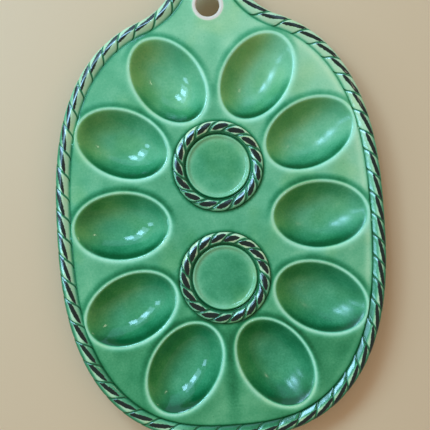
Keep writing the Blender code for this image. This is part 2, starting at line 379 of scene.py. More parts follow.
# How triangles are filled in: over the convex hull, merging points this close in millimetres
CONVEX_HULL = 0
MERGE_MM = 1e-5


def fill(loops, spare, keep):
    """Triangles between closed loops through spare points: numbers of the points, loops first."""
    points = np.concatenate([*loops, spare])
    edges = []
    start = 0
    for loop in loops:
        edges.extend((start + i, start + (i + 1) % len(loop)) for i in range(len(loop)))
        start += len(loop)
    corners = [Vector(point) for point in points / MM]
    _, _, faces, origins, _, _ = delaunay_2d_cdt(corners, edges, [], CONVEX_HULL, MERGE_MM)
    source = np.array([origin[0] for origin in origins])
    triangles = source[np.array(faces)]
    return triangles[keep(points[triangles].mean(axis=1))]


def hex_grid(spacing):
    """Points of a triangular grid over the whole tray."""
    row = spacing * math.sqrt(3) / 2
    xs = np.arange(-HALF_WIDTH, HALF_WIDTH, spacing)
    ys = np.arange(rim_low.y, rim_high.y, row)
    grid = [np.stack([xs + spacing / 2 * (i % 2), np.full(len(xs), y)], axis=1) for i, y in enumerate(ys)]
    return np.concatenate(grid)


# Thickness of the glaze all over, where 0 is a pale film on an edge and 3 a dark pool; it also carries
# painted shade and a painted sheen
MEAN_GLAZE = 1.03
RUN_GLAZE = 0.36
# Painted light across the tray: a sheen that pales the right side towards the top, and shade that darkens
# it towards the lower end
SLANT_SHADE_AND_SHEEN = 0.40
SIDE_SHEEN = 0.16
MIDDLE_GLAZE = 0.20
MIDDLE_LOSS = 1.2
MIDDLE_ENDS = (0.55, 0.90)
LIP_GLAZE = 0.41
UNDER_GLAZE = 0.70
# Painted reflection: a mint tint on the lips for the sky that their inner edges mirror
SKY_SHEEN_MEAN = 0.5
SKY_SHEEN_LEAN = np.array([0.52, -0.30])


def run_glaze(points, slant=1.0):
    """Glaze gets thicker towards the lower end, as it runs on a tray that hangs by its tab. Across the
    tray it carries painted light: a painted sheen that pales the right side towards the top and painted
    shade that darkens it towards the lower end, the reverse on the left.
    """
    low = lowness(points)
    right = rightness(points)
    middle = MIDDLE_GLAZE * (1 - 2 * right ** 2) * (1 - MIDDLE_LOSS * ease(abs(low), *MIDDLE_ENDS))
    across = middle + (SLANT_SHADE_AND_SHEEN * low - SIDE_SHEEN) * right
    return MEAN_GLAZE + RUN_GLAZE * low + slant * across


def lip_sky_sheen(outward):
    """How far a painted sky reflection tints the thin glaze on a lip mint: most on the right and lower
    sides.
    """
    return np.clip(SKY_SHEEN_MEAN + outward @ SKY_SHEEN_LEAN, 0.0, 1.0)


def ripple(points):
    """Slow unevenness of a hand-pressed deck: two waves, each bent by a longer one."""
    x, y = points.T
    x_bend = RIPPLE_X_BEND * np.sin(y / RIPPLE_X_BEND_LENGTH)
    y_bend = RIPPLE_Y_BEND * np.sin(x / RIPPLE_Y_BEND_LENGTH + RIPPLE_Y_START)
    return RIPPLE_HEIGHT * (np.sin(x / RIPPLE_X + x_bend) + np.sin(y / RIPPLE_Y - y_bend))


def deck_height(points):
    """Upper surface of the deck: lips, the seats of the ropes and the swelling round the hole."""
    flat = np.ones(len(points))
    for well in WELLS:
        gap = np.maximum(well.gap(points)[0], 0)
        flat *= 1 - np.exp(-(gap / SWELL_REACH) ** SWELL_FALL)
    height = LIP_RISE * (1 - flat)
    seat = ease(rope_gap(points), 0.0, RABBET_EDGE)
    beside_hole = np.maximum(distance_from(HOLE, points) - HOLE_EDGE, 0)
    swell = HOLE_SWELL * hump(beside_hole, 0, HOLE_SWELL_REACH)
    return DECK_TOP - RABBET + (RABBET + height + ripple(points)) * seat + swell


# Glaze on the deck: by the lips, with painted shade above them
LIP_FILM = 2.2 * MM
LIP_FILM_LOSS = 1.0 * MM
SHADE_ABOVE_LIP = (-0.30, 0.80)
# The next constants paint a band of shade on the deck above each lip
LIP_SHADE = 1.40
LIP_SHADE_MOST = 1.2
LIP_SHADE_CLIMB = (0.6 * MM, 1.8 * MM)
LIP_SHADE_FALL = (2.0 * MM, 6.5 * MM)
LIP_SHADE_LOSS = 0.30
LIP_SHADE_LOSS_ENDS = (0.1, 0.5)
VALLEY_POOL = 0.8
VALLEY_REACH = 6.0 * MM

# Glaze on the deck: the streak that ran down the middle line
STREAK_X = 1.0 * MM
STREAK_WIDTH = 4.5 * MM
STREAK_CLIMB = (0.40, 0.55)
STREAK_FALL = (0.75, 1.0)
STREAK_LOW = 1.1
STREAK_HIGH = 0.1

# Glaze on the deck: along the feet of the ropes, with painted shade there, a painted sheen on the right,
# and in the lower corners
BESIDE_RING = 6.0 * MM
# Pooled glaze and painted shade in the crease at the foot of each rope
RING_FOOT_POOL_AND_SHADE = 1.9
RING_FOOT_REACH = 1.2 * MM
RIM_FOOT_POOL_AND_SHADE = 1.6
RIM_FOOT_LOW_POOL_AND_SHADE = 0.8
RIM_FOOT_LOW = (-0.3, 0.8)
RIM_FOOT_REACH = 0.7 * MM
FOOT_POOL_AND_SHADE_GAP = 0.2 * MM
RIGHT_SIDE = (0.20, 0.70)
# Painted sheen: a paler strip on the deck beside the rim on the right
RIGHT_SHEEN = 0.2
RIGHT_SHEEN_LOW = (-0.5, 0.3)
RIGHT_SHEEN_GAP = 3.0 * MM
RIGHT_SHEEN_WIDTH = 2.5 * MM
CORNER_POOL = 0.45
CORNER_LOW = (0.25, 0.60)
CORNER_SIDE = (0.10, 0.45)
DECK_OLIVE = 0.25
DECK_OLIVE_LOW = (0.0, 0.6)

# Bare clay round the hanging hole
HOLE_CLAY = 2.9 * MM
HOLE_FILM = (1.5 * MM, 4.0 * MM)


def lip_marks(points):
    """Film on the lips, its painted sky sheen, painted shade above the lips and the extra glaze in the
    valleys between.
    """
    lip, mint, pool_and_shade, near = np.zeros((4, len(points)))
    for well in WELLS:
        gap, outward = well.gap(points)
        near += hump(np.maximum(gap, 0), 0, VALLEY_REACH)
        shade_above = ease(outward[:, 1], *SHADE_ABOVE_LIP)
        film_and_sheen = hump(gap, 0, LIP_FILM - LIP_FILM_LOSS * shade_above)
        lip = np.maximum(lip, film_and_sheen)
        mint = np.maximum(mint, film_and_sheen * lip_sky_sheen(outward))
        # Painted shade: a dark band on the deck above each lip, where the pale film is also narrower
        pool_and_shade += shade_above * plateau(gap, LIP_SHADE_CLIMB, LIP_SHADE_FALL)
    pool_and_shade *= 1 - LIP_SHADE_LOSS * ease(-lowness(points), *LIP_SHADE_LOSS_ENDS)
    thickness_and_shade = LIP_SHADE * np.minimum(pool_and_shade, LIP_SHADE_MOST) + VALLEY_POOL * np.maximum(near - 1, 0)
    return lip, mint, thickness_and_shade


def middle_streak(points):
    """Extra glaze that ran down the middle line, most of it at the lower end."""
    low = lowness(points)
    streak = hump(points[:, 0], STREAK_X, STREAK_WIDTH) * plateau(abs(low), STREAK_CLIMB, STREAK_FALL)
    return streak * np.where(low > 0, STREAK_LOW, STREAK_HIGH)


def foot_glaze_and_shade(points):
    """Extra glaze and painted shade along the feet of the ropes, with a painted sheen beside the rim on
    the right.
    """
    low = lowness(points)
    gap = rope_gap(points)
    right = ease(rightness(points), *RIGHT_SIDE)
    by_ring = ring_gap(points) < BESIDE_RING
    # Pooled glaze and painted shade at the foot of each rope
    rim_pool_and_shade = RIM_FOOT_POOL_AND_SHADE + RIM_FOOT_LOW_POOL_AND_SHADE * ease(low, *RIM_FOOT_LOW) - right
    pool_and_shade = np.where(by_ring, RING_FOOT_POOL_AND_SHADE, rim_pool_and_shade)
    reach = np.where(by_ring, RING_FOOT_REACH, RIM_FOOT_REACH)
    # Painted sheen beside the rim on the right
    film_and_sheen = RIGHT_SHEEN * (1 + ease(low, *RIGHT_SHEEN_LOW)) * right
    return pool_and_shade * hump(gap, FOOT_POOL_AND_SHADE_GAP, reach) - film_and_sheen * hump(gap, RIGHT_SHEEN_GAP, RIGHT_SHEEN_WIDTH)


def deck_marks(points):
    """Glaze on the deck: thin on the lips, painted shade above them, pooled glaze with painted shade along
    the ropes, a painted sheen on the right, and glaze in the streak.
    """
    low = lowness(points)
    lip, mint, lip_shade_and_valley_glaze = lip_marks(points)
    corner = ease(low, *CORNER_LOW) * ease(abs(rightness(points)), *CORNER_SIDE)
    thickness_and_shade = run_glaze(points) + lip_shade_and_valley_glaze + foot_glaze_and_shade(points) + middle_streak(points)
    thickness_and_shade += CORNER_POOL * corner
    thickness_and_shade += (LIP_GLAZE - thickness_and_shade) * lip
    beside_hole = distance_from(HOLE, points) - HOLE_RADIUS
    thickness_and_shade *= ease(beside_hole, *HOLE_FILM)
    olive = DECK_OLIVE * ease(low, *DECK_OLIVE_LOW) * (1 - lip)
    return {"glaze": thickness_and_shade, "clay": (HOLE_CLAY - beside_hole) / MM, "olive": olive, "mint": mint}


def under_height(points):
    """Lower surface of the deck, with a fillet where each well's belly leaves it."""
    height = np.zeros(len(points))
    for well in WELLS:
        gap, _ = well.gap(points)
        height += BELLY_FILLET * np.exp(-np.maximum(gap, 0) / BELLY_FALL)
    return DECK_BOTTOM - height


def under_marks(points):
    return {"glaze": UNDER_GLAZE}


def deck_outlines():
    """Loops where both faces of the deck end: under the rim rope, at the two dishes and at the hole."""
    spots = RIM.spots(RIM_STRANDS * EDGE_POINTS)
    edge = RIM.inside(spots, np.full(len(spots), DECK_EDGE_INSET))
    openings = [circle(DISH_OPENING, RING_SIDES, centre) for centre in DISHES.values()]
    return [edge, *openings, circle(HOLE_EDGE, HOLE_SIDES, HOLE)]


def on_deck(points, strip, margin):
    """Which points lie on the deck, clear by a margin of its edges and of the strip round each well."""
    free = inset_of(points) > DECK_EDGE_INSET + margin
    free &= distance_from(HOLE, points) > HOLE_EDGE + margin
    for centre in DISHES.values():
        free &= distance_from(centre, points) > DISH_OPENING + margin
    for well in WELLS:
        free &= well.gap(points)[0] > strip + margin
    return free


def deck_face(skin, steps, spare, height, marks):
    """One face of the deck: a strip of rings round each well, and triangles over the rest.

    Gives the vertices of the outlines and those of the ring at each well's crest.
    """
    strips = []
    for well in WELLS:
        rings = [well.ring(offset=step) for step in steps]
        strips.append([skin.add(ring, height(ring), **marks(ring)) for ring in rings])
        skin.bands(strips[-1])
    outlines = deck_outlines()
    loops = [skin.add(loop, height(loop), **marks(loop)) for loop in outlines]
    width = steps[-1]
    spare = spare[on_deck(spare, width, SPARE_MARGIN)]
    inner = skin.add(spare, height(spare), **marks(spare))
    numbers = np.concatenate([*loops, *(strip[-1] for strip in strips), inner])
    outlines += [well.ring(offset=width) for well in WELLS]
    triangles = fill(outlines, spare, lambda middles: on_deck(middles, width, TRIANGLE_MARGIN))
    skin.faces.extend(numbers[triangles].tolist())
    return loops, [strip[0] for strip in strips]


def upper_points():
    """Points over the upper face: a grid, with closer rows where the deck drops to the ropes."""
    grid = hex_grid(DECK_GRID)
    from_rim = np.abs(inset_of(grid) - ROPE_WIDTH - FOOT_MIDDLE)
    from_ring = np.abs(ring_gap(grid) - FOOT_MIDDLE)
    rows = [grid[np.minimum(from_rim, from_ring) > FOOT_CLEARANCE]]
    spots = RIM.spots(RIM_STRANDS * FOOT_POINTS)
    rows.extend(RIM.inside(spots, np.full(len(spots), ROPE_WIDTH + step)) for step in FOOT_STEPS)
    for centre in DISHES.values():
        rows.extend(circle(RING_OUTER + step, RING_SIDES * 2, centre) for step in FOOT_STEPS)
    return np.concatenate(rows)


def hole_wall(skin):
    """Rings of the hanging hole's wall, which is rounded at both ends."""
    top = deck_height(circle(HOLE_EDGE, HOLE_SIDES, HOLE))
    rings = []
    for end, way, degrees in ((top, -1, HOLE_TOP_TURNS), (DECK_BOTTOM, 1, HOLE_BOTTOM_TURNS)):
        for turn in np.radians(degrees):
            loop = circle(HOLE_EDGE - HOLE_ROUND * math.sin(turn), HOLE_SIDES, HOLE)
            height = end + way * HOLE_ROUND * (1 - math.cos(turn))
            rings.append(skin.add(loop, height, clay=BARE_CLAY))
    return rings


def deck_piece(finish):
    """The deck: a fine upper face and a plainer lower one, joined at the rim, wells, dishes and hole."""
    skin = Skin()
    upper_loops, upper_crests = deck_face(skin, LIP_STEPS, upper_points(), deck_height, deck_marks)
    under_points = hex_grid(UNDER_GRID)
    lower_loops, lower_crests = deck_face(skin, UNDER_STEPS, under_points, under_height, under_marks)
    for top, bottom in zip(upper_loops[:-1], lower_loops[:-1]):
        skin.band(top, bottom)
    for well, top, bottom in zip(WELLS, upper_crests, lower_crests):
        wall = well.ring(offset=SEAM_GAP)
        middle = [skin.add(wall, LIP_TOP - SEAM_EASE), skin.add(wall, SEAM_FOOT + SEAM_EASE)]
        skin.bands([top, *middle, bottom])
    skin.bands([upper_loops[-1], *hole_wall(skin), lower_loops[-1]])
    skin.piece("glazed_deck", finish, "deck_glaze", "deck")


# Rings of a well: shares of the way in from the lip for the bowl, and out from the pad for the belly
BOWL_SHARES = (0.94, 0.87, 0.79, 0.71, 0.63, 0.55, 0.47, 0.40, 0.33, 0.27, 0.22, 0.18, 0.145, 0.115,
               0.09, 0.07, 0.052, 0.038, 0.026, 0.016, 0.008, 0.0)
BELLY_SHARES = (1.0, 0.93, 0.85, 0.76, 0.66, 0.55, 0.44, 0.33, 0.22, 0.12, 0.05, 0.0)
PAD_CLAY = 0.6
PAD_CLAY_FALL = 12

# Glaze in the wells, with painted shade on their walls and in the lower right wells, and olive painted
# warm shade at the upper left
WELL_GLAZE = 0.30
WELL_SLANT = 0.15
WELL_RUN = 0.14
# Painted light: the right-hand wells darker towards the lower end and paler towards the top
WELL_RIGHT_SHADE_AND_SHEEN = 0.22
WELL_RIGHT = (0.0, 0.4)
BOWL_EDGE = (0.6 * MM, 1.7 * MM)
BOWL_FILM = 1.1 * MM
LOWER_WALL = (0.15, 1.0)
LOWER_WALL_SIDE = (0.10, 0.80)
LOWER_LEFT_LOSS = 0.45
LOWER_RIGHT_LOSS = 0.15
# The next constants paint shade on the bowls' walls: a dark crescent inside the lower edge, a broader
# shade below it and a shade on the upper wall
LOWER_EDGE_SHADE = 1.9
LOWER_EDGE_SHADE_FALL = (2.0 * MM, 7.0 * MM)
LOWER_SHADE = 0.75
LOWER_SHADE_FALL = (5.0 * MM, 17.0 * MM)
UPPER_WALL = (-0.2, 0.9)
UPPER_SHADE = 0.48
UPPER_SHADE_LOW = 0.3
UPPER_SHADE_FALL = (3.0 * MM, 15.0 * MM)
UPPER_LEFT = np.array([-0.90, 0.44])
UPPER_LEFT_WALL = (-0.3, 0.9)
UPPER_LEFT_LOSS = 0.12
UPPER_LEFT_FALL = (2.0 * MM, 12.0 * MM)
# Painted warm shade: an olive tint on the upper-left walls of the bowls
BOWL_WARM_SHADE_CLIMB = (0.4 * MM, 1.6 * MM)
BOWL_WARM_SHADE_FALL = (4.0 * MM, 24.0 * MM)


def bowl_height(share):
    """Height of the bowl at a share of the way out, with a rounded crest."""
    inward = 1 - np.asarray(share)
    rounded = np.sqrt(inward ** 2 + CREST_ROUNDING ** 2) - CREST_ROUNDING
    rounded /= math.sqrt(1 + CREST_ROUNDING ** 2) - CREST_ROUNDING
    return LIP_TOP - BOWL_DEPTH * (1 - (1 - rounded) ** BOWL_POWER)


def well_glaze(points):
    """Glaze in the middle of the wells, a little thicker than on the deck round them, with painted shade
    in the lower right wells and a painted sheen in the upper right ones.
    """
    run_and_shade = WELL_RUN + WELL_RIGHT_SHADE_AND_SHEEN * ease(rightness(points), *WELL_RIGHT)
    return run_glaze(points, WELL_SLANT) + WELL_GLAZE + run_and_shade * lowness(points)


def bowl_marks(well, points):
    """Glaze in a bowl: thin on the lip with a painted sky sheen, painted shade by the lower edge and on
    the upper wall, and olive painted warm shade at the upper left.
    """
    gap, outward = well.gap(points)
    depth = -gap
    # Painted shade on the lower and upper walls of the bowl
    shade_below = ease(-outward[:, 1], *LOWER_WALL)
    shade_below *= 1 - LOWER_LEFT_LOSS * ease(-outward[:, 0], *LOWER_WALL_SIDE)
    shade_below *= 1 - LOWER_RIGHT_LOSS * ease(outward[:, 0], *LOWER_WALL_SIDE)
    shade_above = (UPPER_SHADE + UPPER_SHADE_LOW * lowness(points)) * ease(outward[:, 1], *UPPER_WALL)
    thickness_and_shade = well_glaze(points)
    thickness_and_shade += LOWER_EDGE_SHADE * shade_below * plateau(depth, BOWL_EDGE, LOWER_EDGE_SHADE_FALL)
    thickness_and_shade += LOWER_SHADE * shade_below * plateau(depth, BOWL_EDGE, LOWER_SHADE_FALL)
    thickness_and_shade += shade_above * plateau(depth, BOWL_EDGE, UPPER_SHADE_FALL)
    lip = hump(depth, 0, BOWL_FILM)
    thickness_and_shade += (LIP_GLAZE - thickness_and_shade) * lip
    upper_left = ease(outward @ UPPER_LEFT, *UPPER_LEFT_WALL)
    thickness_and_shade -= UPPER_LEFT_LOSS * upper_left * plateau(depth, BOWL_EDGE, UPPER_LEFT_FALL)
    # Painted warm shade: olive on the upper-left walls, for warm light reflected into their shade
    olive = upper_left * plateau(depth, BOWL_WARM_SHADE_CLIMB, BOWL_WARM_SHADE_FALL)
    return {"glaze": thickness_and_shade, "olive": olive, "mint": lip * lip_sky_sheen(outward)}


def well_piece(well, finish):
    """One egg well: the bowl, the seam hidden in the deck, and the belly down to the standing pad."""
    skin = Skin()
    rings = []
    for inward in BOWL_SHARES:
        ring = well.ring(1 - inward)
        rings.append(skin.add(ring, bowl_height(1 - inward), **bowl_marks(well, ring)))
    pole = skin.add([well.centre], bowl_height(0.0), glaze=well_glaze(well.centre[None]))
    skin.cap(rings[0], pole)
    wall = well.ring(offset=-SEAM_GAP)
    rings += [skin.add(wall, LIP_TOP - SEAM_EASE), skin.add(wall, SEAM_FOOT + SEAM_EASE)]
    for share in BELLY_SHARES:
        ring = well.ring(half=PAD_HALF + share * (WELL_HALF - PAD_HALF))
        clay = PAD_CLAY - PAD_CLAY_FALL * share
        rings.append(skin.add(ring, SEAM_FOOT * share ** BOWL_POWER, glaze=UNDER_GLAZE, clay=clay))
    skin.bands(rings)
    skin.cap(rings[-1], skin.add([well.centre], 0.0, clay=BARE_CLAY))
    skin.piece(well.name.replace("egg", "glazed"), finish, "well_glaze", well.name)


# Section of a dish
DISH_FLOOR = DECK_TOP - DISH_DEPTH
DISH_EDGE = DISH_RADIUS - 0.4 * MM
DISH_EDGE_TOP = DECK_TOP - DISH_RIM_DROP
DISH_WALL_POWER = 1.9
DISH_WALL_ROUNDING = 0.35
DISH_WALL_ROUND = (0.7, 1.0)
RING_FOOT_RADIUS = RING_OUTER - RING_ROPE_WIDTH
RING_FOOT_TUCK = 0.3 * MM
GROOVE_RADIUS = (DISH_RADIUS + RING_FOOT_RADIUS) / 2
GROOVE_END = 0.9
DISH_FLOOR_SHARES = (0.1, 0.3, 0.5, 0.7, 0.85, 0.95, 1.0)
DISH_WALL_SHARES = np.linspace(0.15, 1, 9)
GROOVE_SHARES = np.linspace(0.12, 1, 8)
DISH_BELLY_SHARES = (0.15, 0.35, 0.6, 0.85, 1.0)
DISH_BELLY_WALL = 4.0 * MM
DISH_BELLY_TAPER = 6.0 * MM

# Glaze in a dish, with painted shade in its groove
DISH_GLAZE = 0.26
DISH_EDGE_GLAZE = 0.74
DISH_EDGE_FADE = 8.0 * MM
# Pooled glaze and painted shade in the groove, more shade on its lower side
GROOVE_POOL_AND_SHADE = 2.2
GROOVE_LOW_SHADE = 0.8
GROOVE_POOL_AND_SHADE_START = 0.2 * MM
GROOVE_LOW_SPREAD = 0.6 * MM
GROOVE_POOL_AND_SHADE_FULL = GROOVE_RADIUS - 0.3 * MM


def dish_top():
    """Radius and height along the dish: floor, hollow wall, edge and the groove by the rope."""
    profile = [(share * DISH_FLOOR_RADIUS, DISH_FLOOR) for share in DISH_FLOOR_SHARES]
    for share in DISH_WALL_SHARES:
        rounding = (1 - DISH_WALL_ROUNDING * ease(share, *DISH_WALL_ROUND)) / (1 - DISH_WALL_ROUNDING)
        height = DISH_FLOOR + share ** DISH_WALL_POWER * rounding * (DISH_EDGE_TOP - DISH_FLOOR)
        profile.append((DISH_FLOOR_RADIUS + share * (DISH_EDGE - DISH_FLOOR_RADIUS), height))
    for share in GROOVE_SHARES:
        drop = GROOVE_DEPTH * (1 - math.cos(math.pi * share)) / 2
        profile.append((DISH_EDGE + share * (GROOVE_RADIUS - DISH_EDGE), DISH_EDGE_TOP - drop))
    profile.append((RING_FOOT_RADIUS - RING_FOOT_TUCK, DISH_EDGE_TOP - GROOVE_END * GROOVE_DEPTH))
    return profile


def dish_underside():
    """Radius and height round the flange under the rope, down the neck and along the belly."""
    top = DECK_TOP + FLANGE_TOP
    profile = [(RING_FOOT_RADIUS + RING_FOOT_TUCK, top), (FLANGE_RADIUS, top)]
    profile += [(FLANGE_RADIUS, ROPE_SEAT), (DISH_NECK_RADIUS, ROPE_SEAT), (DISH_NECK_RADIUS, DECK_BOTTOM)]
    for share in DISH_BELLY_SHARES:
        drop = (DECK_BOTTOM - DISH_FLOOR + DISH_BELLY_WALL) * math.sin(share * math.pi / 2)
        profile.append((DISH_NECK_RADIUS - share ** 2 * DISH_BELLY_TAPER, DECK_BOTTOM - drop))
    return profile


def dish_ring_glaze(ring, centre, radius):
    """Glaze on one ring of a dish: thin on the edge, and pooled with painted shade in the groove, the
    shade most on its lower side.
    """
    low = ease((centre - ring)[:, 1] / radius, 0.0, 1.0)
    thickness_and_shade = run_glaze(ring) + DISH_GLAZE
    thickness_and_shade += (DISH_EDGE_GLAZE - thickness_and_shade) * ease(radius, DISH_EDGE - DISH_EDGE_FADE, DISH_EDGE)
    # Painted shade in the groove, wider on its lower side
    start = DISH_EDGE + GROOVE_POOL_AND_SHADE_START - GROOVE_LOW_SPREAD * low
    return thickness_and_shade + (GROOVE_POOL_AND_SHADE + GROOVE_LOW_SHADE * low) * ease(radius, start, GROOVE_POOL_AND_SHADE_FULL)


def dish_piece(side, finish):
    """One round dish: a flat floor, a rounded edge and the groove inside the rope ring."""
    skin = Skin()
    centre = DISHES[side]
    rings = []
    for radius, height in dish_top():
        ring = circle(radius, RING_SIDES, centre)
        rings.append(skin.add(ring, height, glaze=dish_ring_glaze(ring, centre, radius)))
    skin.cap(rings[0], skin.add([centre], DISH_FLOOR, glaze=run_glaze(centre[None]) + DISH_GLAZE))
    underside = dish_underside()
    for radius, height in underside:
        rings.append(skin.add(circle(radius, RING_SIDES, centre), height, glaze=UNDER_GLAZE))
    skin.bands(rings)
    _, bottom = underside[-1]
    skin.cap(rings[-1], skin.add([centre], bottom, glaze=UNDER_GLAZE))
    skin.piece(f"glazed_dish_{side}", finish, "dish_glaze", f"{side}_dish")


# The two kinds of rope, angles in degrees. Lay is the strands' slant in pitches, and roll their turn down
# the skirt outside the seat. The drifts move dabs in at the lower left and out at the lower right.
RIM_ROPE = SimpleNamespace(
    width=ROPE_WIDTH, lay=ROPE_LAY, seat=ROPE_SEAT, top=ROPE_TOP, foot=DECK_BOTTOM, skirt=ROPE_SKIRT,
    roll=50.0, inner_slope=40.0, outer_slope=26.5, rounding=0.25,
    dab_along=5.9 * MM, dab_inset=3.7 * MM, dab_lean=13.0, dab_length=23.0 * MM, dab_width=2.8 * MM,
    dab_start=0.06, left_drift=1.8 * MM, right_drift=0.6 * MM,
    glaze=0.28, seam_start=0.84, foot_pool_and_shade=1.6, foot_reach=1.0 * MM, inner_pool=2.2, outer_pool=2.0)
RING_ROPE = SimpleNamespace(
    width=RING_ROPE_WIDTH, lay=RING_LAY, seat=DECK_TOP + FLANGE_TOP + SEAM_GAP, top=RING_TOP,
    foot=ROPE_SEAT, skirt=RING_SKIRT,
    roll=30.0, inner_slope=36.0, outer_slope=24.0, rounding=0.30,
    dab_along=6.7 * MM, dab_inset=3.8 * MM, dab_lean=17.0, dab_length=14.5 * MM, dab_width=3.6 * MM,
    dab_start=0.08, left_drift=0.0, right_drift=0.0,
    glaze=0.15, seam_start=0.60, foot_pool_and_shade=3.2, foot_reach=0.6 * MM, inner_pool=0.5, outer_pool=0.8)

# Strands of both kinds of rope
ROPE_STEPS_OVER = 29
ROPE_STEPS_DOWN = 7
STRAND_GROOVE = 0.9 * MM
STRAND_POWER = 5.0
CROWN_POWER = 10
GROOVE_HOLD = 0.3
SKIRT_ROLL = 0.8
SKIRT_STEP = 0.25 * MM
LOW_SIDE_FLATTER = 6.5
LOW_SIDE = (0.15, 0.55)
# Pooled glaze and painted shade in the grooves between the strands
SEAM_POOL_AND_SHADE = 3.2

# Inward directions where the loop is low, on its right and its left, and the spans of the pools there
LOW_RIGHT_INWARD = np.array([-0.6, 0.8])
LOW_LEFT_INWARD = np.array([0.75, 0.66])
INNER_POOL_RIGHT = (0.40, 0.90)
INNER_POOL_LEFT = (0.78, 0.97)
INNER_LEFT_SHARE = 0.45
INNER_POOL_WIDTHS = np.array([0.50, 0.75])
OUTER_POOL_LEFT = (0.20, 0.90)
OUTER_POOL_RIGHT = (0.20, 0.80)
OUTER_POOL_WIDTHS = np.array([0.10, 0.35])

# Unevenness of the dabs, which were painted by hand
DAB_SLIP = 0.4 * MM
DAB_SWAY = 0.15 * MM
DAB_STRETCH = 0.5 * MM
DAB_BORDER = 0.6
DAB_POWER = 3
DAB_FARTHEST = 1.2
LEFT_DRIFT_LOW = (-0.1, 0.5)
RIGHT_DRIFT_LOW = (0.2, 0.6)


def leaf(along, across, length, width):
    """Signed depth inside a blunt leaf that lies along the first axis."""
    share = np.clip(np.abs(along) / (length / 2), 0, DAB_FARTHEST)
    return width / 2 * (1 - share ** DAB_POWER) - np.abs(across)


def crown(share, facet, rounding):
    """Height of a ridge at a share of the way from crest to foot: a facet, then a rounded edge."""
    fall = facet * (math.hypot(share, rounding) - rounding)
    edge = 1 - facet * (math.hypot(1, rounding) - rounding)
    return 1 - fall - edge * share ** CROWN_POWER


